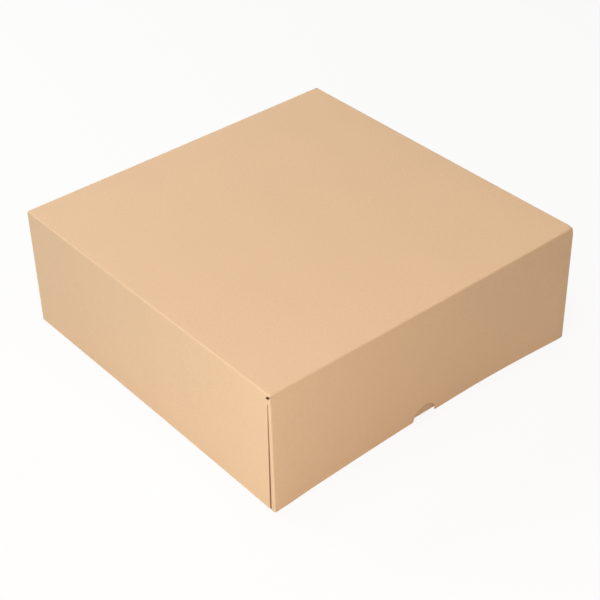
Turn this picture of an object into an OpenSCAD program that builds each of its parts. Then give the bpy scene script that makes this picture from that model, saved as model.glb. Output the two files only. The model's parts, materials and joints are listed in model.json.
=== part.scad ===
// Two-piece pastry box of kraft card: a full-depth lid that lifts off a tray.
// Each piece is one folded sheet with four rolled corners, whose glue flaps lie behind the side walls.
// Origin: centre of the footprint, on the surface the box stands on. +X runs along the front wall.

/* [Lid] */
// Outer width of the lid, along its front wall
lid_w = 283; // [180:1:400]
// Outer depth of the lid, along its side walls
lid_d = 283; // [140:1:400]
// Outer height of the closed box
lid_h = 100; // [60:1:160]
// Thickness of the card
card_t = 0.6; // [0.4:0.1:0.8]
// Outer radius of the creases round the panel
crease_r = 1.5; // [1:0.1:2.5]

/* [Tray] */
// Play between each wall of the tray and the lid's wall beside it
tray_play = 5.9; // [4.5:0.1:10]
// Gap between the tray's rim and the lid's top panel
seat_gap = 0.3; // [0.2:0.1:1]

/* [Rolled corners] */
// Outer radius of the rolled fold at each upright corner
corner_r = 1; // [0.9:0.1:2]
// Distance from the front face to a side wall's raw end, below the corner
end_setback = 2.9; // [2.6:0.1:4]
// How much further back that raw end stands at the free edge
end_taper = 1.5; // [0:0.1:3]
// Distance from the panel's outer face down to where the raw end steps back
hook_drop = 7; // [6:0.1:10]
// Height over which the raw end steps back
hook_l = 2; // [1:0.1:5]
// Gap between a side wall's raw end and the flap that passes behind it
spring_gap = 0.2; // [0.1:0.05:0.6]
// Half width of the relief hole at each top corner
relief_half_w = 2; // [1.5:0.1:3]
// Half height of the relief hole at each top corner
relief_half_h = 1.4; // [1:0.1:2]
// Distance from the front face to the relief hole
relief_setback = 0.3; // [0.1:0.1:1]

/* [Glue flaps] */
// Length of a glue flap behind the side wall, from the raw end to its tip
flap_l = 25; // [15:1:45]
// Length beside the raw end that isn't glued
flap_free_l = 4; // [2:0.5:10]
// Distance from the panel's outer face to the flap's nearer edge
flap_top_drop = 7.5; // [6:0.1:12]
// Distance from the walls' free edge to the flap's other edge
flap_edge_gap = 1.5; // [0.5:0.1:4]
// How far each long edge of the flap closes in along its length
flap_taper = 4; // [1:0.5:8]

/* [Bowed front wall] */
// Clearance left between the lid's bowed front wall and the tray
bow_clear = 1.3; // [0.8:0.1:3]
// Distance from the wall's middle to the deepest point of the bow
bow_off = 45; // [0:1:50]
// Length beside each corner that stays straight at the free edge
bow_flat = 12; // [5:1:25]
// How strongly the bow gathers towards the free edge
bow_power = 1.5; // [1:0.1:3]
// How far the lid's front left corner flares out at its free edge
corner_flare = 0.8; // [0:0.1:1.5]
// Length of the front wall that flares with it
flare_l = 28; // [10:1:60]

/* [Thumb notches] */
// Radius of the half-moon notches
notch_r = 10.7; // [6:0.1:20]

/* [Hidden] */
$fn = 64;
lid_colour = [0.80, 0.66, 0.49];
tray_colour = [0.74, 0.60, 0.44];

// Straight height below each rolled crease, and how far an end wall laps onto it
skirt = 1;
lap = 0.4;
fold_drop = crease_r + skirt;
// Cells of the bowed wall, across and down, and cells of a rolled corner
bow_cols = 36;
bow_rows = 8;
roll_cells = 6;

bow_in = tray_play - bow_clear;
tray_w = lid_w - 2 * (card_t + tray_play);
tray_d = lid_d - 2 * (card_t + tray_play);
tray_h = lid_h - card_t - seat_gap;

// Every carton is drawn lid side up: its panel's outer face at z = 0 and its free edge at z = -h.
// s is a height on a wall: 0 where it leaves the crease and 1 at its free edge.

// Length of an end wall between its two rolled corners
function end_wall_l(w) = w - 2 * corner_r;

// Sideways shape of the bow: 0 beside the corners and 1 at its deepest point; a starts at the left corner
function bow_shape(a, l) =
    let (peak = l / 2 + bow_off, right_flat = bow_flat / 2)
    a < peak
        ? sin(90 * max(0, (a - bow_flat) / (peak - bow_flat)))
        : sin(90 * max(0, (l - right_flat - a) / (l - right_flat - peak)));

// How far the front wall stands inside its own flat plane
function bow_depth(a, l, s) =
    bow_in * bow_shape(a, l) * pow(s, bow_power) - corner_flare * s * max(0, 1 - a / flare_l);

// Cross-section of a block whose two upper edges are rolled
module rolled_profile(w, drop, r) {
    translate([-w / 2, -drop]) square([w, drop - r]);
    translate([-w / 2 + r, -drop]) square([w - 2 * r, drop]);
    for (side = [-1, 1])
        translate([side * (w / 2 - r), -r]) circle(r);
}

// Rectangle whose corners turn in the same flat cells as a rolled corner
module footprint(w, d, r) {
    polygon([
        for (corner = [0 : 3], k = [0 : roll_cells])
            let (
                turn = 90 * (corner + k / roll_cells),
                x = corner == 0 || corner == 3 ? 1 : -1,
                y = corner < 2 ? 1 : -1
            )
            [x * (w / 2 - r) + r * cos(turn), y * (d / 2 - r) + r * sin(turn)]
    ]);
}

// Block with all four upper edges rolled, meeting in mitres at its round upright corners
module rolled_block(w, d, drop, r, upright_r) {
    intersection() {
        rotate([90, 0, 0]) linear_extrude(d, center = true) rolled_profile(w, drop, r);
        rotate([90, 0, 90]) linear_extrude(w, center = true) rolled_profile(d, drop, r);
        translate([0, 0, -drop]) linear_extrude(drop) footprint(w, d, upright_r);
    }
}

// Flat panel with its four rolled creases
module rolled_panel(w, d) {
    difference() {
        rolled_block(w, d, fold_drop, crease_r, corner_r);
        translate([0, 0, -card_t])
            rolled_block(w - 2 * card_t, d - 2 * card_t, fold_drop, crease_r - card_t, corner_r - card_t);
    }
}

// Left wall, with raw ends that step and taper back from the corners
module side_wall(w, d, h) {
    raw_end = [
        [d / 2 - corner_r, lap - fold_drop],
        [d / 2 - corner_r, -hook_drop],
        [d / 2 - end_setback, -hook_drop - hook_l],
        [d / 2 - end_setback - end_taper, -h]
    ];
    far_end = [for (i = [3 : -1 : 0]) [-raw_end[i][0], raw_end[i][1]]];
    translate([-w / 2, 0, 0])
        rotate([90, 0, 90])
            linear_extrude(card_t) polygon(concat(raw_end, far_end));
}

// Front wall with its two rolled corners and the glue flaps they carry, as one bent sheet.
// Its stations run from the left flap's tip, round the left corner, along the wall and back to the right tip.
module end_wall(w, d, h, bowed) {
    cols = bowed ? bow_cols : 1;
    rows = bowed ? bow_rows : 1;
    last = cols + 2 * roll_cells + 6;
    row_l = last + 1;
    sheet_l = row_l * (rows + 2);
    l = end_wall_l(w);

    // Flap: passes behind the side wall's raw end, then runs into the wall's inner half where it is glued
    function flap_point(side, beyond, s, inner) =
        let (depth = beyond == 0 ? card_t + spring_gap : card_t / 2, back = beyond == 0 ? card_t : 1.5 * card_t)
        [side * (w / 2 - depth - inner * back), end_setback + end_taper * s + beyond - d / 2];

    // Rolled corner: turn goes from 0 at the flap to 1 at the wall
    function roll_point(side, turn, s, inner) =
        let (r = corner_r - inner * card_t, flare = bowed && side < 0 ? corner_flare : 0)
        [side * (w / 2 - corner_r + r * cos(90 * turn)), corner_r - flare * s - r * sin(90 * turn) - d / 2];

    function wall_point(share, s, inner) =
        [l * (share - 0.5), (bowed ? bow_depth(l * share, l, s) : 0) + inner * card_t - d / 2];

    function station(c, s, inner) =
        let (side = c <= last / 2 ? -1 : 1, k = side < 0 ? c : last - c)
        k == 0 ? flap_point(side, flap_l, s, inner)
        : k == 1 ? flap_point(side, flap_free_l, s, inner)
        : k == 2 ? flap_point(side, 0, s, inner)
        : k <= roll_cells + 3 ? roll_point(side, (k - 3) / roll_cells, s, inner)
        : wall_point((c - roll_cells - 3) / cols, s, inner);

    // How far each long edge of the flap has closed in: 0 where the flap starts
    function closing(c) =
        let (k = min(c, last - c))
        k == 0 ? flap_taper : k == 1 ? flap_taper * flap_free_l / flap_l : 0;

    function is_flap(c) = min(c, last - c) <= 2;
    function top_drop(c) = is_flap(c) ? flap_top_drop + closing(c) : fold_drop - lap;
    function edge_drop(c) = is_flap(c) ? h - flap_edge_gap - closing(c) : h;

    points = [
        for (inner = [0, 1], j = [-1 : rows], c = [0 : last])
            let (
                drop = j < 0 ? top_drop(c)
                    : top_drop(c) + lap + (edge_drop(c) - top_drop(c) - lap) * j / rows,
                s = max(0, (drop - fold_drop) / (h - fold_drop))
            )
            [each station(c, s, inner), -drop]
    ];
    outer_cells = [
        for (j = [0 : rows], c = [0 : last - 1])
            let (k = j * row_l + c)
            each [[k, k + 1, k + 1 + row_l], [k, k + 1 + row_l, k + row_l]]
    ];
    inner_cells = [for (f = outer_cells) [f[2] + sheet_l, f[1] + sheet_l, f[0] + sheet_l]];
    top_edge = [
        for (k = [0 : last - 1])
            each [[k + sheet_l, k + 1 + sheet_l, k + 1], [k + sheet_l, k + 1, k]]
    ];
    free_edge = [
        for (k = [sheet_l - row_l : sheet_l - 2])
            each [[k, k + 1, k + 1 + sheet_l], [k, k + 1 + sheet_l, k + sheet_l]]
    ];
    left_tip = [
        for (j = [0 : rows])
            let (k = j * row_l)
            [k + sheet_l, k, k + row_l, k + row_l + sheet_l]
    ];
    right_tip = [
        for (j = [0 : rows])
            let (k = j * row_l + last)
            [k, k + sheet_l, k + row_l + sheet_l, k + row_l]
    ];
    polyhedron(points, concat(outer_cells, inner_cells, top_edge, free_edge, left_tip, right_tip));
}

// Diamond-shaped relief hole where three creases meet, cut through the side wall and the rolled corner
module relief_hole(w, d) {
    translate([-w / 2 - lap, relief_setback + relief_half_w - d / 2, -crease_r - card_t - relief_half_h])
        rotate([90, 0, 90])
            linear_extrude(lap + card_t + spring_gap + corner_r)
                polygon([[-relief_half_w, 0], [0, -relief_half_h], [relief_half_w, 0], [0, relief_half_h]]);
}

// One folded sheet: a panel, two side walls, and two end walls with their rolled corners and glue flaps
module carton(w, d, h, bowed) {
    difference() {
        union() {
            rolled_panel(w, d);
            end_wall(w, d, h, bowed);
            mirror([0, 1, 0]) end_wall(w, d, h, false);
            for (side = [0, 1])
                mirror([side, 0, 0]) side_wall(w, d, h);
        }
        for (side = [0, 1], end = [0, 1])
            mirror([side, 0, 0]) mirror([0, end, 0]) relief_hole(w, d);
    }
}

// Half-moon thumb notches in the free edges of the front and back walls
module thumb_notches(d, h) {
    translate([0, 0, -h])
        rotate([90, 0, 0])
            cylinder(h = d + 4 * crease_r, r = notch_r, center = true);
}

// Lid: the outer sheet, standing on its walls' free edges
module lid() {
    color(lid_colour)
        translate([0, 0, lid_h])
            difference() {
                carton(lid_w, lid_d, lid_h, true);
                thumb_notches(lid_d, lid_h);
            }
}

// Tray: the same sheet a little smaller, turned over so that its panel is the floor
module tray() {
    color(tray_colour)
        rotate([180, 0, 0]) carton(tray_w, tray_d, tray_h, false);
}

lid();
tray();
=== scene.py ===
"""Kraft card pastry box: its two folded sheets, their finish, and a pale studio round them."""
import json
import math

import bpy
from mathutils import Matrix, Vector

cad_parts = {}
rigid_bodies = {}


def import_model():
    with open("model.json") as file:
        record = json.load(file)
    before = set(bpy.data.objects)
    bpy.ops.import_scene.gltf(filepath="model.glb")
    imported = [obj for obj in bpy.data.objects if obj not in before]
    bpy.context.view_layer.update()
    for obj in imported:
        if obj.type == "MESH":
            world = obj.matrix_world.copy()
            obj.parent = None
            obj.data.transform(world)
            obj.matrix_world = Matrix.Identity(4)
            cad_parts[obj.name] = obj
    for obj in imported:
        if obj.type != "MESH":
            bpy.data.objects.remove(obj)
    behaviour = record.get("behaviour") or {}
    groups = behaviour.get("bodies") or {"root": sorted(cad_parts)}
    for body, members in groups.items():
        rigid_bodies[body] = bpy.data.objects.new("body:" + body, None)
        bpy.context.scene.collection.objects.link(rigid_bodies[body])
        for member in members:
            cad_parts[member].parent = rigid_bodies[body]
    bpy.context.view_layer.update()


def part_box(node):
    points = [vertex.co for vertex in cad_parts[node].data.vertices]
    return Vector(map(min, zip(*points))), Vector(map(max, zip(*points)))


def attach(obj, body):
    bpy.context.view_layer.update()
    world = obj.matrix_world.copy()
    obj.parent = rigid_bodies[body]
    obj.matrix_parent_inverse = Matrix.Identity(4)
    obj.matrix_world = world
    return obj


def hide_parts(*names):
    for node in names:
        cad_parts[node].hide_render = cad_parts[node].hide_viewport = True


bl_info = {
    "name": "Kraft Pastry Box",
    "version": (1, 0, 0),
    "blender": (4, 5, 0),
    "location": "View3D > Sidebar > Pastry Box",
    "description": "Dresses a two-piece kraft card pastry box and lights it in a plain studio",
    "category": "Object",
}

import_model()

MM = 0.001
_, LID_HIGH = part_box("lid")
_, TRAY_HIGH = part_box("tray")


class CardSheet(bpy.types.PropertyGroup):
    """Sizes of the folds, cuts and bends of the card"""

    card: bpy.props.FloatProperty(
        name="Card thickness",
        description="Thickness of the kraft card",
        default=0.6 * MM,
        min=0.4 * MM,
        max=0.8 * MM,
        unit="LENGTH",
    )
    crease: bpy.props.FloatProperty(
        name="Crease radius",
        description="Outer radius of the creases round the panel",
        default=1.0 * MM,
        min=1.0 * MM,
        max=2.5 * MM,
        unit="LENGTH",
    )
    corner: bpy.props.FloatProperty(
        name="Corner radius",
        description="Outer radius of the upright rolled corners",
        default=1.0 * MM,
        min=0.9 * MM,
        max=1.5 * MM,
        unit="LENGTH",
    )
    bow: bpy.props.FloatProperty(
        name="Front bow",
        description="How far the lid's front wall bends inwards at its free edge",
        default=4.6 * MM,
        min=0.0,
        max=4.6 * MM,
        unit="LENGTH",
    )
    flare: bpy.props.FloatProperty(
        name="Corner flare",
        description="How far the lid's front left corner stands out at its free edge",
        default=0.8 * MM,
        min=0.0,
        max=0.8 * MM,
        unit="LENGTH",
    )
    notch: bpy.props.FloatProperty(
        name="Notch radius",
        description="Radius of the half-moon thumb notches",
        default=10.7 * MM,
        min=6.0 * MM,
        max=14.0 * MM,
        unit="LENGTH",
    )
    flap: bpy.props.FloatProperty(
        name="Flap length",
        description="Length of a glue flap behind the side wall",
        default=25.0 * MM,
        min=15.0 * MM,
        max=45.0 * MM,
        unit="LENGTH",
    )


class KraftFinish(bpy.types.PropertyGroup):
    """Colours and surface of the kraft card"""

    lid_colour: bpy.props.FloatVectorProperty(
        name="Lid colour",
        description="Colour of the lid's card",
        subtype="COLOR",
        size=3,
        min=0.0,
        max=1.0,
        default=(0.80, 0.525, 0.308),
    )
    tray_colour: bpy.props.FloatVectorProperty(
        name="Tray colour",
        description="Colour of the tray's card",
        subtype="COLOR",
        size=3,
        min=0.0,
        max=1.0,
        default=(0.80, 0.53, 0.315),
    )
    edge_colour: bpy.props.FloatVectorProperty(
        name="Cut edge colour",
        description="Colour of the raw die-cut edges",
        subtype="COLOR",
        size=3,
        min=0.0,
        max=1.0,
        default=(0.55, 0.34, 0.19),
    )
    # Painted shade: a dark red-brown painted on the card down in the narrow corner seams and on the
    # relief holes' cut walls, where the deep gaps fall into shade
    painted_shade_colour: bpy.props.FloatVectorProperty(
        name="Seam colour",
        description="Colour of the shade-painted card down in the narrow corner seams",
        subtype="COLOR",
        size=3,
        min=0.0,
        max=1.0,
        default=(0.36, 0.16, 0.07),
    )
    roughness: bpy.props.FloatProperty(
        name="Roughness",
        description="Roughness of the calendered card",
        subtype="FACTOR",
        min=0.0,
        max=1.0,
        default=0.62,
    )


class StudioLook(bpy.types.PropertyGroup):
    """Floor, backdrop and light levels"""

    floor_colour: bpy.props.FloatVectorProperty(
        name="Floor colour",
        description="Colour of the floor under the box",
        subtype="COLOR",
        size=3,
        min=0.0,
        max=1.0,
        default=(0.86, 0.81, 0.74),
    )
    floor_paleness: bpy.props.FloatProperty(
        name="Floor paleness",
        description="How far the floor that the camera sees fades to white; the rest keeps the shadow",
        subtype="FACTOR",
        min=0.0,
        max=1.0,
        default=0.88,
    )
    ambient_level: bpy.props.FloatProperty(
        name="Ambient level",
        description="Brightness of the even light from all round",
        min=0.0,
        max=1.0,
        default=0.03,
    )
    backdrop_level: bpy.props.FloatProperty(
        name="Backdrop level",
        description="Brightness of the backdrop as the camera sees it",
        min=0.0,
        max=1.0,
        default=1.0,
    )


def deselect_all():
    for obj in bpy.context.view_layer.objects:
        obj.select_set(False)


def make_active(obj):
    deselect_all()
    obj.select_set(True)
    bpy.context.view_layer.objects.active = obj


def new_material(name):
    material = bpy.data.materials.new(name)
    material.use_nodes = True
    return material, material.node_tree.nodes, material.node_tree.links


def math_node(nodes, links, operation, first, second=None, third=None):
    """A Math node whose inputs are sockets or plain numbers"""
    node = nodes.new("ShaderNodeMath")
    node.operation = operation
    for socket, value in zip(node.inputs, (first, second, third)):
        if value is None:
            continue
        if isinstance(value, (int, float)):
            socket.default_value = value
        else:
            links.new(value, socket)
    return node.outputs[0]


def noise(nodes, links, coords, scale, detail, roughness=0.55):
    node = nodes.new("ShaderNodeTexNoise")
    node.inputs["Scale"].default_value = scale
    node.inputs["Detail"].default_value = detail
    node.inputs["Roughness"].default_value = roughness
    links.new(coords, node.inputs["Vector"])
    return node.outputs["Fac"]


# The card's surface: patterns per metre, and how far each one moves the tone
FIBRE_SCALE, FIBRE_CONTRAST, FIBRE_STRETCH = 1100.0, 0.12, 0.35
MOTTLE_SCALE, MOTTLE_CONTRAST = 520.0, 0.10
CLOUD_SCALE, CLOUD_CONTRAST = 16.0, 0.05
FLECK_SCALE, FLECK_CONTRAST = 130.0, 0.08
FLECK_RARITY = 0.93
FLECK_RADIUS = 0.10
BUMP_STRENGTH = 0.12
EDGE_ROUGHNESS = 0.9
# Roughness of the painted shade in the seams and relief holes
PAINTED_SHADE_ROUGHNESS = 0.95


def kraft_material(name, colour, roughness):
    """Smooth kraft card: soft clouds, fine fibre mottle and a few darker flecks"""
    material, nodes, links = new_material(name)
    shader = nodes["Principled BSDF"]
    shader.inputs["Roughness"].default_value = roughness
    shader.inputs["Specular IOR Level"].default_value = 0.35
    coords = nodes.new("ShaderNodeTexCoord").outputs["Object"]

    fibre_map = nodes.new("ShaderNodeMapping")
    fibre_map.inputs["Scale"].default_value = (1.0, FIBRE_STRETCH, 1.0)
    links.new(coords, fibre_map.inputs["Vector"])
    fibre = noise(nodes, links, fibre_map.outputs["Vector"], FIBRE_SCALE, 3.0, 0.6)
    mottle = noise(nodes, links, coords, MOTTLE_SCALE, 4.0, 0.6)
    cloud = noise(nodes, links, coords, CLOUD_SCALE, 2.0)

    tone = math_node(nodes, links, "MULTIPLY_ADD", fibre, FIBRE_CONTRAST, 1 - FIBRE_CONTRAST / 2)
    for pattern, contrast in ((mottle, MOTTLE_CONTRAST), (cloud, CLOUD_CONTRAST)):
        level = math_node(nodes, links, "SUBTRACT", tone, contrast / 2)
        tone = math_node(nodes, links, "MULTIPLY_ADD", pattern, contrast, level)

    flecks = nodes.new("ShaderNodeTexVoronoi")
    flecks.inputs["Scale"].default_value = FLECK_SCALE
    links.new(coords, flecks.inputs["Vector"])
    chosen = nodes.new("ShaderNodeSeparateColor")
    links.new(flecks.outputs["Color"], chosen.inputs["Color"])
    rare = math_node(nodes, links, "GREATER_THAN", chosen.outputs["Red"], FLECK_RARITY)
    near = math_node(nodes, links, "LESS_THAN", flecks.outputs["Distance"], FLECK_RADIUS)
    fleck = math_node(nodes, links, "MULTIPLY", rare, near)
    darkening = math_node(nodes, links, "MULTIPLY", fleck, FLECK_CONTRAST)
    tone = math_node(nodes, links, "SUBTRACT", tone, darkening)

    base = nodes.new("ShaderNodeMix")
    base.data_type = "RGBA"
    base.blend_type = "MULTIPLY"
    base.inputs["Factor"].default_value = 1.0
    base.inputs["A"].default_value = (*colour, 1.0)
    links.new(tone, base.inputs["B"])
    links.new(base.outputs["Result"], shader.inputs["Base Color"])

    bump = nodes.new("ShaderNodeBump")
    bump.inputs["Strength"].default_value = BUMP_STRENGTH
    bump.inputs["Distance"].default_value = 0.1 * MM
    links.new(mottle, bump.inputs["Height"])
    links.new(bump.outputs["Normal"], shader.inputs["Normal"])
    return material


def card_materials(piece, colour, finish):
    """The kraft of a piece's faces and of its cut edges, and the painted shade of its seams and relief
    holes
    """
    kraft = kraft_material(piece + "_kraft", colour, finish.roughness)
    edge = kraft_material(piece + "_cut_edge", finish.edge_colour, EDGE_ROUGHNESS)
    # Painted shade: a dark kraft for the deep seams and holes, where shade falls
    painted_shade = kraft_material(piece + "_seam", finish.painted_shade_colour, PAINTED_SHADE_ROUGHNESS)
    return kraft, edge, painted_shade


# A distance too small to see, which tells the sheet's faces and edges apart
NEAR = 0.01 * MM

# Where the skin is sliced so that it can bend: steps across a panel, levels down a wall, and
# distances in mm from the corners and below the panel
PANEL_STEPS = 32
WALL_STEPS = 12
CORNER_SLICES = (1.8, 2.6, 3.5, 4.5, 6.0)
CREASE_SLICES = (1.8, 2.6, 3.5, 4.5, 5.5)
BEVEL_STEPS = 6

# The side walls' raw ends: distance from the corner, taper, and the hook's drop below the panel
RAW_END = 2.9 * MM
RAW_TAPER = 1.5 * MM
HOOK_START = 7.0 * MM
HOOK_END = 9.0 * MM
RAW_REACH = 6.0 * MM

# The glue flaps: drop below the panel, free part behind the raw end, taper, root and gap to the wall
FLAP_DROP = 7.5 * MM
FLAP_FREE = 4.0 * MM
FLAP_TAPER = 4.0 * MM
FLAP_ROOT = 6.0 * MM
FLAP_GAP = 0.2 * MM

# The groove between a rolled corner and a raw end: width at its top, how far it opens at its foot,
# width where it is tight, depth, how much shallower its foot is, and how far its strip sinks
GROOVE_TOP = 0.6 * MM
GROOVE_OPENING = 1.1 * MM
TIGHT_GROOVE = 0.1 * MM
GROOVE_DEPTH = 1.3 * MM
GROOVE_LIFT = 0.6 * MM
STRIP_SINK = 0.15 * MM

# The relief holes: place beside the corner and below the panel, half sizes, slant and how far pinched
HOLE_INSET = 2.1 * MM
HOLE_DROP = 2.8 * MM
HOLE_HALF_L = 2.7 * MM
HOLE_HALF_H = 1.3 * MM
HOLE_SLANT = math.radians(33.0)
PINCHED_SHARE = 0.25

# The front wall's bow: how far its peak lies past the middle, its flat ends and the flare's length
BOW_PEAK = 45.0 * MM
LEFT_FLAT = 12.0 * MM
RIGHT_FLAT = 6.0 * MM
FLARE_LENGTH = 28.0 * MM

# How hand folding leaves the lid: the straight walls' pull and the far left corner's lift
PULL = 0.5 * MM
FAR_LIFT = 0.5 * MM
FAR_LIFT_WIDTH = 6.0 * MM

# How a knock leaves the lid's front right corner: its lift, its blunted tip and their reach
KNOCK_LIFT = 1.0 * MM
KNOCK_LIFT_REACH = 70.0 * MM
KNOCK = Vector((-0.7, 0.7, -0.55)) * MM
KNOCK_REACH = 5.5 * MM

# Material slots of a sheet, in the order of card_materials
EDGE_SLOT = 1
# The slot of the painted shade in the seams and relief holes
PAINTED_SHADE_SLOT = 2

SMOOTH_ANGLE = math.radians(32.0)


def pick(sheet, kind, test):
    """Select the faces or edges whose centre and direction pass the test, and stay in edit mode"""
    bpy.ops.object.mode_set(mode="EDIT")
    bpy.ops.mesh.select_mode(type=kind)
    bpy.ops.mesh.select_all(action="DESELECT")
    bpy.ops.object.mode_set(mode="OBJECT")
    mesh = sheet.data
    if kind == "FACE":
        for face in mesh.polygons:
            face.select = test(face.center, face.normal)
    else:
        for edge in mesh.edges:
            start, end = (mesh.vertices[index].co for index in edge.vertices)
            edge.select = test((start + end) / 2, end - start)
    bpy.ops.object.mode_set(mode="EDIT")


def slice_all(place, normal):
    """Cut the whole sheet along a plane, so that it can bend there"""
    bpy.ops.mesh.select_all(action="SELECT")
    bpy.ops.mesh.bisect(plane_co=place, plane_no=normal, threshold=NEAR / 10)


def shift(sheet, rule, selected_only=False):
    """Move the sheet's points by what the rule gives for their place"""
    mode = bpy.context.object.mode
    bpy.ops.object.mode_set(mode="OBJECT")
    for vertex in sheet.data.vertices:
        if vertex.select or not selected_only:
            vertex.co += rule(vertex.co)
    bpy.ops.object.mode_set(mode=mode)


def apply_modifier(sheet, kind, **settings):
    modifier = sheet.modifiers.new(kind.title(), kind)
    for name, value in settings.items():
        setattr(modifier, name, value)
    make_active(sheet)
    bpy.ops.object.modifier_apply(modifier=modifier.name)


def raw_end(drop, height, corner):
    """Distance from the corner to a side wall's raw end, at a drop below the panel"""
    if drop < HOOK_END:
        return corner + (RAW_END - corner) * (drop - HOOK_START) / (HOOK_END - HOOK_START)
    return RAW_END + RAW_TAPER * (drop - HOOK_END) / (height - HOOK_END)


def folded_skin(name, half_w, half_d, height, sizes):
    """One folded sheet as a skin without thickness, panel up, its free edge on the floor"""
    deselect_all()
    bpy.ops.mesh.primitive_cube_add(
        size=1.0,
        location=(0.0, 0.0, height / 2),
        scale=(2 * half_w, 2 * half_d, height),
    )
    skin = bpy.context.active_object
    skin.name = name
    skin.data.name = name
    bpy.ops.object.transform_apply(location=True, rotation=True, scale=True)

    pick(skin, "FACE", lambda centre, normal: normal.z < -0.5)
    bpy.ops.mesh.delete(type="FACE")
    pick(skin, "EDGE", lambda centre, along: centre.z > height - NEAR)
    bpy.ops.transform.edge_bevelweight(value=1.0)
    pick(skin, "EDGE", lambda centre, along: abs(along.z) > height / 2)
    bpy.ops.transform.edge_bevelweight(value=sizes.corner / sizes.crease)
    bpy.ops.object.mode_set(mode="OBJECT")
    apply_modifier(
        skin,
        "BEVEL",
        limit_method="WEIGHT",
        width=sizes.crease,
        segments=BEVEL_STEPS,
        use_clamp_overlap=False,
    )

    bpy.ops.object.mode_set(mode="EDIT")
    for half, normal in ((half_w, (1.0, 0.0, 0.0)), (half_d, (0.0, 1.0, 0.0))):
        lines = [half * (2 * step / PANEL_STEPS - 1) for step in range(1, PANEL_STEPS)]
        lines += [side * (half - inset * MM) for side in (-1, 1) for inset in CORNER_SLICES]
        for line in lines:
            slice_all([line * part for part in normal], normal)
    levels = [height - HOOK_END, height - FLAP_DROP, height - HOOK_START]
    levels += [height - drop * MM for drop in CREASE_SLICES]
    levels += [(height - HOOK_END) * step / WALL_STEPS for step in range(1, WALL_STEPS)]
    for level in levels:
        slice_all((0.0, 0.0, level), (0.0, 0.0, 1.0))
    return skin


def cut_raw_ends(skin, half_w, half_d, height, sizes):
    """Cut the side walls back from the rolled corners, hook first and then the long taper"""
    def beside_corner(centre, normal):
        return abs(normal.x) > 0.99 and half_d - RAW_REACH < abs(centre.y) < half_d - sizes.corner

    for end in (-1, 1):
        for start, finish in ((HOOK_START, HOOK_END), (HOOK_END, height)):
            near = half_d - raw_end(start, height, sizes.corner)
            far = half_d - raw_end(finish - NEAR / 10, height, sizes.corner)
            run = Vector((0.0, end * (far - near), start - finish))
            pick(
                skin,
                "FACE",
                lambda centre, normal: beside_corner(centre, normal) and centre.y * end > 0,
            )
            bpy.ops.mesh.bisect(
                plane_co=(0.0, end * near, height - start),
                plane_no=(0.0, run.z, -run.y),
                threshold=NEAR / 10,
            )

    def is_waste(centre, normal):
        drop = height - centre.z
        return (
            beside_corner(centre, normal)
            and drop > HOOK_START
            and half_d - abs(centre.y) < raw_end(drop, height, sizes.corner) - NEAR
        )

    pick(skin, "FACE", is_waste)
    bpy.ops.mesh.delete(type="FACE")


def extrude_edges(move):
    bpy.ops.mesh.extrude_region_move(TRANSFORM_OT_translate={"value": move})


def fold_glue_flaps(skin, half_w, half_d, height, sizes, sprung):
    """Carry each rolled corner on behind the raw end as a tapered glue flap; the sprung corners gape"""
    depth = sizes.card + FLAP_GAP
    middle = (height - FLAP_DROP) / 2

    def fall(co):
        return max(0.0, 1 - co.z / (height - HOOK_END))

    for side in (-1, 1):
        for end in (-1, 1):
            top, opening = (GROOVE_TOP, GROOVE_OPENING) if (side, end) in sprung else (TIGHT_GROOVE, 0.0)

            def on_roll_end(centre, along):
                return (
                    abs(centre.y * end - half_d + sizes.corner) < NEAR
                    and abs(centre.x * side - half_w) < NEAR
                    and abs(along.z) > NEAR
                    and centre.z < height - FLAP_DROP
                )

            pick(skin, "EDGE", on_roll_end)
            extrude_edges((-side * STRIP_SINK, -end * (RAW_END - sizes.corner - top), 0.0))
            shift(
                skin,
                lambda co: Vector((0.0, -end * (RAW_TAPER - opening) * fall(co), 0.0)),
                selected_only=True,
            )
            extrude_edges((-side * (GROOVE_DEPTH - STRIP_SINK), -end * top, 0.0))
            shift(
                skin,
                lambda co: Vector((side * GROOVE_LIFT * fall(co) ** 4, -end * opening * fall(co), 0.0)),
                selected_only=True,
            )
            extrude_edges((side * (GROOVE_DEPTH - depth + FLAP_GAP - NEAR), -end * FLAP_FREE, 0.0))
            shift(
                skin,
                lambda co: Vector((-side * GROOVE_LIFT * fall(co) ** 4, 0.0, 0.0)),
                selected_only=True,
            )
            extrude_edges((0.0, -end * (sizes.flap - FLAP_FREE), 0.0))
            shift(
                skin,
                lambda co: Vector((0.0, 0.0, (middle - co.z) * FLAP_TAPER / middle)),
                selected_only=True,
            )

            def on_flap_root(centre, along):
                return (
                    abs(centre.z - height + FLAP_DROP) < NEAR
                    and half_w - GROOVE_DEPTH < centre.x * side < half_w - sizes.card
                    and RAW_END < half_d - centre.y * end < RAW_END + FLAP_FREE
                    and abs(along.y) > FLAP_FREE / 2
                )

            pick(skin, "EDGE", on_flap_root)
            extrude_edges((-side * (GROOVE_DEPTH - depth) / 2, end * FLAP_FREE / 4, FLAP_ROOT))

    bpy.ops.object.mode_set(mode="OBJECT")
    # Paint shade on the groove's faces between the rolled corner and the raw end, where the narrow gap
    # falls into shade
    for face in skin.data.polygons:
        reach = half_d - abs(face.center.y)
        sink = half_w - abs(face.center.x)
        in_groove = STRIP_SINK + NEAR < sink < GROOVE_DEPTH and abs(face.normal.z) < 0.3
        if in_groove and sizes.corner < reach < RAW_END + RAW_TAPER + FLAP_FREE:
            face.material_index = PAINTED_SHADE_SLOT


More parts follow.
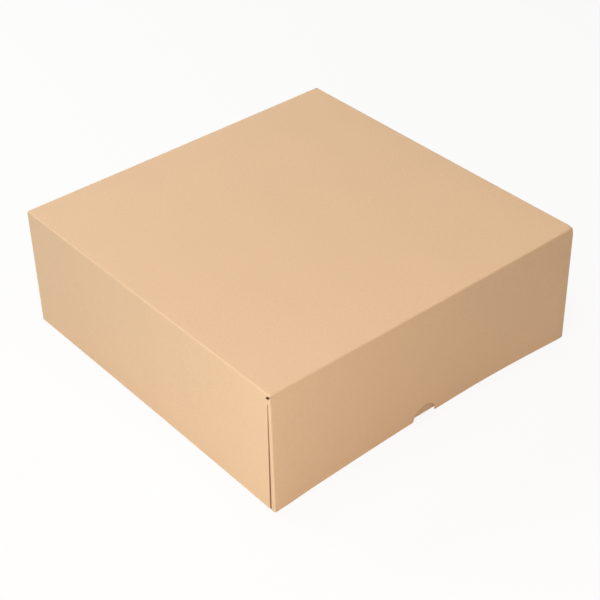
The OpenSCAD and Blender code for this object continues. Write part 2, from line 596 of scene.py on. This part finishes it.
def bow_front(skin, half_w, half_d, height, sizes):
    """Bend the front wall inwards below its crease and let the near corner flare out"""
    length = 2 * (half_w - sizes.corner)
    peak = length / 2 + BOW_PEAK
    fold_drop = sizes.crease + MM

    def rule(co):
        if co.y > -half_d + sizes.corner + NEAR or height - co.z < fold_drop:
            return Vector()
        fall = (height - co.z - fold_drop) / (height - fold_drop)
        along = min(length, max(0.0, co.x + length / 2))
        if along < peak:
            rise = (along - LEFT_FLAT) / (peak - LEFT_FLAT)
        else:
            rise = (length - RIGHT_FLAT - along) / (length - RIGHT_FLAT - peak)
        wave = math.sin(math.pi / 2 * max(0.0, rise))
        flare = sizes.flare * fall * max(0.0, 1 - along / FLARE_LENGTH)
        return Vector((0.0, sizes.bow * wave * fall ** 1.5 - flare, 0.0))

    shift(skin, rule)


def droop(co, half_w, half_d):
    """How far the panel sinks beside each wall, as card does that is folded by hand

    Each row below is a wall: depth and reach in mm, distance from it, and the share along it.
    """
    across = min(1.0, max(0.0, (co.x + half_w) / (2 * half_w)))
    back = min(1.0, max(0.0, (co.y + half_d) / (2 * half_d)))
    sides = (
        (0.28, 36.0, half_w + co.x, math.sin(math.pi * back) ** 0.7),
        (0.30, 42.0, half_w - co.x, math.sin(math.pi * back ** 0.7) ** 0.7),
        (0.30, 22.0, half_d + co.y, math.sin(math.pi * across ** 1.5)),
        (0.20, 30.0, half_d - co.y, math.sin(math.pi * across)),
    )
    deepest = 0.0
    for amount, reach, inset, share in sides:
        near_wall = max(0.0, 1 - max(0.0, inset) / (reach * MM))
        deepest = max(deepest, amount * MM * share * near_wall ** 2)
    return deepest


def settle(skin, half_w, half_d, height, sizes):
    """Let the panel droop, the three straight walls' free edges pull in and the far left corner lift"""
    def rule(co):
        down = droop(co, half_w, half_d) * co.z / height
        fall = max(0.0, 1 - co.z / (height - sizes.crease - MM)) ** 1.5
        inwards = PULL * fall
        pull_x = pull_y = lift = 0.0
        if abs(co.x) > half_w - NEAR:
            pull_x = -math.copysign(inwards * math.cos(math.pi / 2 * co.y / half_d), co.x)
        if co.x < -half_w + FAR_LIFT_WIDTH:
            lift = FAR_LIFT * fall * max(0.0, co.y / half_d) ** 2
        if co.y > half_d - NEAR:
            pull_y = -inwards * math.cos(math.pi / 2 * co.x / half_w)
        return Vector((pull_x, pull_y, lift - down))

    shift(skin, rule)


def lift_corner(skin, half_w, half_d, height):
    """Raise the free edge a little at the lid's front right corner, which the knock holds up"""
    def rule(co):
        inset = (half_w - co.x) + (half_d + co.y)
        near_corner = max(0.0, 1 - inset / KNOCK_LIFT_REACH)
        return Vector((0.0, 0.0, KNOCK_LIFT * near_corner * max(0.0, 1 - co.z / height) ** 2))

    shift(skin, rule)


def crush_corner(skin, half_w, half_d, height):
    """Blunt the lid's front right corner to a soft nose, as a knock leaves it"""
    reach = KNOCK_REACH

    def rule(co):
        parts = (co.x - half_w + reach, reach - half_d - co.y, co.z - height + reach)
        share = math.prod(min(1.0, max(0.0, part / reach)) for part in parts)
        return KNOCK * share ** 1.2

    shift(skin, rule)


def cut_away(sheet, cutter, cut_material):
    """Cut a shape out of the sheet, give the cut its material and throw the cutter away"""
    cutter.data.materials.append(cut_material)
    make_active(cutter)
    bpy.ops.object.transform_apply(location=True, rotation=True, scale=True)
    apply_modifier(
        sheet,
        "BOOLEAN",
        operation="DIFFERENCE",
        solver="EXACT",
        material_mode="TRANSFER",
        object=cutter,
    )
    bpy.data.objects.remove(cutter)


def cut_relief_holes(sheet, half_w, half_d, height, open_corners, pinched_corners, cut_material):
    """Slanting diamond holes where the creases meet: full size at open corners, small at pinched ones"""
    for corners, share in ((open_corners, 1.0), (pinched_corners, PINCHED_SHARE)):
        for side, end in corners:
            deselect_all()
            bpy.ops.mesh.primitive_cylinder_add(
                vertices=4,
                radius=1.0,
                depth=4.0 * MM,
                location=(side * half_w, end * (half_d - HOLE_INSET * share), height - HOLE_DROP),
                rotation=(0.0, math.pi / 2, 0.0),
                scale=(HOLE_HALF_H * share, HOLE_HALF_L * share, 1.0),
            )
            hole = bpy.context.active_object
            make_active(hole)
            bpy.ops.object.transform_apply(location=False, rotation=True, scale=True)
            bpy.ops.transform.rotate(
                value=-end * HOLE_SLANT,
                orient_axis="X",
                center_override=hole.location,
            )
            cut_away(sheet, hole, cut_material)


def cut_thumb_notches(sheet, half_d, sizes, cut_material):
    """Half-moon notches in the free edges of the front and back walls"""
    deselect_all()
    bpy.ops.mesh.primitive_cylinder_add(
        vertices=96,
        radius=sizes.notch,
        depth=2 * half_d + 10 * MM,
        location=(0.0, 0.0, 0.0),
        rotation=(math.pi / 2, 0.0, 0.0),
    )
    cut_away(sheet, bpy.context.active_object, cut_material)


def give_thickness(sheet, sizes, materials):
    """Thicken the skin inwards: plain kraft on its inner face, the cut edge's look on its rim"""
    for material in materials:
        sheet.data.materials.append(material)
    apply_modifier(
        sheet,
        "SOLIDIFY",
        thickness=sizes.card,
        offset=-1.0,
        use_even_offset=True,
        # Inner faces drop the painted shade back to plain kraft, so the painted shade stays on the outer
        # face
        material_offset=-PAINTED_SHADE_SLOT,
        material_offset_rim=EDGE_SLOT,
    )


def finish_sheet(sheet, node):
    make_active(sheet)
    bpy.ops.object.shade_smooth_by_angle(angle=SMOOTH_ANGLE)
    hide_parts(node)
    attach(sheet, node)


class PASTRYBOX_OT_lid(bpy.types.Operator):
    """Fold the lid's sheet, bow its front wall and cut its notches"""

    bl_idname = "pastrybox.lid"
    bl_label = "Fold Lid"

    def execute(self, context):
        sizes = context.scene.card_sheet
        finish = context.scene.kraft_finish
        half_w, half_d, height = LID_HIGH
        sheet = folded_skin("lid_sheet", half_w, half_d, height, sizes)
        cut_raw_ends(sheet, half_w, half_d, height, sizes)
        fold_glue_flaps(sheet, half_w, half_d, height, sizes, [(-1, -1)])
        bow_front(sheet, half_w, half_d, height, sizes)
        settle(sheet, half_w, half_d, height, sizes)
        lift_corner(sheet, half_w, half_d, height)
        crush_corner(sheet, half_w, half_d, height)
        kraft, edge, painted_shade = card_materials("lid", finish.lid_colour, finish)
        give_thickness(sheet, sizes, (kraft, edge, painted_shade))
        # The open and pinched relief holes get painted shade on their cut walls
        cut_relief_holes(sheet, half_w, half_d, height, [(-1, -1)], [(-1, 1), (1, 1)], painted_shade)
        cut_thumb_notches(sheet, half_d, sizes, edge)
        finish_sheet(sheet, "lid")
        return {"FINISHED"}


class PASTRYBOX_OT_tray(bpy.types.Operator):
    """Fold the tray's sheet and turn it over, so that its panel is the floor"""

    bl_idname = "pastrybox.tray"
    bl_label = "Fold Tray"

    def execute(self, context):
        sizes = context.scene.card_sheet
        finish = context.scene.kraft_finish
        half_w, half_d, height = TRAY_HIGH
        sheet = folded_skin("tray_sheet", half_w, half_d, height, sizes)
        cut_raw_ends(sheet, half_w, half_d, height, sizes)
        fold_glue_flaps(sheet, half_w, half_d, height, sizes, [])
        kraft, edge, painted_shade = card_materials("tray", finish.tray_colour, finish)
        give_thickness(sheet, sizes, (kraft, edge, painted_shade))
        all_corners = [(-1, -1), (-1, 1), (1, -1), (1, 1)]
        # The pinched relief holes get painted shade on their cut walls
        cut_relief_holes(sheet, half_w, half_d, height, [], all_corners, painted_shade)
        make_active(sheet)
        sheet.rotation_euler = (math.pi, 0.0, 0.0)
        sheet.location = (0.0, 0.0, height)
        bpy.ops.object.transform_apply(location=True, rotation=True, scale=True)
        finish_sheet(sheet, "tray")
        return {"FINISHED"}


FLOOR_SIZE = 8.0
FLOOR_ROUGHNESS = 0.8
LIGHT_AIM = Vector((0.0, 0.0, 0.05))

# A broad key over the near corner, a wide soft box overhead, low fills on the left, cooler ones
# behind: name, place, size, power and colour
SOFT_BOXES = (
    ("key", (-0.7, -0.8, 1.5), 0.7, 11.8, (1.0, 0.945, 0.89)),
    ("overhead", (0.0, 0.0, 2.0), 1.5, 17.0, (0.98, 0.98, 1.0)),
    ("low_left", (-1.5, -0.3, 0.35), 0.6, 5.6, (0.63, 0.84, 1.0)),
    ("low_near", (-0.5, -0.45, 0.2), 0.25, 0.9, (1.0, 0.96, 0.92)),
    ("back_left", (-0.3, 0.9, 0.8), 0.6, 5.4, (0.78, 0.89, 1.0)),
    ("back_right", (0.5, 0.9, 0.9), 0.6, 1.2, (0.9, 0.95, 1.0)),
)

# The camera, fitted to the box's seven visible corners in the photograph
CAMERA_LENS = 89.559
CAMERA_PLACE = (-0.57718, -0.70211, 0.69877)
CAMERA_TURN = (53.5083, 1.0893, -40.2961)


def add_soft_box(name, place, size, power, colour):
    """A square area light at place, turned towards the box"""
    data = bpy.data.lights.new(name, "AREA")
    data.shape = "SQUARE"
    data.size = size
    data.energy = power
    data.color = colour
    lamp = bpy.data.objects.new(name, data)
    bpy.context.scene.collection.objects.link(lamp)
    lamp.location = place
    lamp.rotation_euler = (LIGHT_AIM - Vector(place)).to_track_quat("-Z", "Y").to_euler()
    lamp.visible_camera = False


class PASTRYBOX_OT_stage(bpy.types.Operator):
    """Lay the pale floor, hang the soft boxes and place the camera"""

    bl_idname = "pastrybox.stage"
    bl_label = "Set Stage"

    def execute(self, context):
        look = context.scene.studio_look
        self.lay_floor(look)
        for soft_box in SOFT_BOXES:
            add_soft_box(*soft_box)
        self.set_world(context.scene, look)
        self.place_camera(context.scene)
        context.scene.view_settings.view_transform = "Standard"
        return {"FINISHED"}

    def lay_floor(self, look):
        deselect_all()
        bpy.ops.mesh.primitive_plane_add(size=FLOOR_SIZE, location=(0.0, 0.0, 0.0))
        floor = bpy.context.active_object
        floor.name = "studio_floor"
        material, nodes, links = new_material("floor_paint")
        shader = nodes["Principled BSDF"]
        shader.inputs["Base Color"].default_value = (*look.floor_colour, 1.0)
        shader.inputs["Roughness"].default_value = FLOOR_ROUGHNESS
        glow = nodes.new("ShaderNodeEmission")
        glow.inputs["Color"].default_value = (1.0, 1.0, 1.0, 1.0)
        glow.inputs["Strength"].default_value = 1.0
        path = nodes.new("ShaderNodeLightPath")
        direct, glossy = path.outputs["Is Camera Ray"], path.outputs["Is Glossy Ray"]
        seen = math_node(nodes, links, "MAXIMUM", direct, glossy)
        share = math_node(nodes, links, "MULTIPLY", seen, look.floor_paleness)
        mix = nodes.new("ShaderNodeMixShader")
        links.new(share, mix.inputs[0])
        links.new(shader.outputs[0], mix.inputs[1])
        links.new(glow.outputs[0], mix.inputs[2])
        links.new(mix.outputs[0], nodes["Material Output"].inputs["Surface"])
        floor.data.materials.append(material)

    def set_world(self, scene, look):
        world = bpy.data.worlds.new("studio_world")
        scene.world = world
        world.use_nodes = True
        nodes = world.node_tree.nodes
        links = world.node_tree.links
        nodes["Background"].inputs["Color"].default_value = (1.0, 1.0, 1.0, 1.0)
        nodes["Background"].inputs["Strength"].default_value = look.ambient_level
        backdrop = nodes.new("ShaderNodeBackground")
        backdrop.inputs["Color"].default_value = (1.0, 1.0, 1.0, 1.0)
        backdrop.inputs["Strength"].default_value = look.backdrop_level
        mix = nodes.new("ShaderNodeMixShader")
        path = nodes.new("ShaderNodeLightPath")
        links.new(path.outputs["Is Camera Ray"], mix.inputs[0])
        links.new(nodes["Background"].outputs[0], mix.inputs[1])
        links.new(backdrop.outputs[0], mix.inputs[2])
        links.new(mix.outputs[0], nodes["World Output"].inputs["Surface"])

    def place_camera(self, scene):
        data = bpy.data.cameras.new("studio_camera")
        data.sensor_width = 36.0
        data.lens = CAMERA_LENS
        camera = bpy.data.objects.new("studio_camera", data)
        scene.collection.objects.link(camera)
        camera.location = CAMERA_PLACE
        camera.rotation_euler = [math.radians(turn) for turn in CAMERA_TURN]
        scene.camera = camera


class PASTRYBOX_PT_panel(bpy.types.Panel):
    """Buttons for the pastry box"""

    bl_idname = "PASTRYBOX_PT_panel"
    bl_label = "Pastry Box"
    bl_space_type = "VIEW_3D"
    bl_region_type = "UI"
    bl_category = "Pastry Box"

    def draw(self, context):
        layout = self.layout
        scene = context.scene
        for group in (scene.card_sheet, scene.kraft_finish, scene.studio_look):
            for name in group.bl_rna.properties.keys():
                if name not in ("rna_type", "name"):
                    layout.prop(group, name)
        for operator in OPERATORS:
            layout.operator(operator.bl_idname)


OPERATORS = (PASTRYBOX_OT_lid, PASTRYBOX_OT_tray, PASTRYBOX_OT_stage)
CLASSES = (CardSheet, KraftFinish, StudioLook, *OPERATORS, PASTRYBOX_PT_panel)


def register():
    for cls in CLASSES:
        bpy.utils.register_class(cls)
    bpy.types.Scene.card_sheet = bpy.props.PointerProperty(type=CardSheet)
    bpy.types.Scene.kraft_finish = bpy.props.PointerProperty(type=KraftFinish)
    bpy.types.Scene.studio_look = bpy.props.PointerProperty(type=StudioLook)


def unregister():
    del bpy.types.Scene.studio_look
    del bpy.types.Scene.kraft_finish
    del bpy.types.Scene.card_sheet
    for cls in reversed(CLASSES):
        bpy.utils.unregister_class(cls)


def main():
    register()
    bpy.ops.pastrybox.tray()
    bpy.ops.pastrybox.lid()
    bpy.ops.pastrybox.stage()


if __name__ == "__main__":
    main()
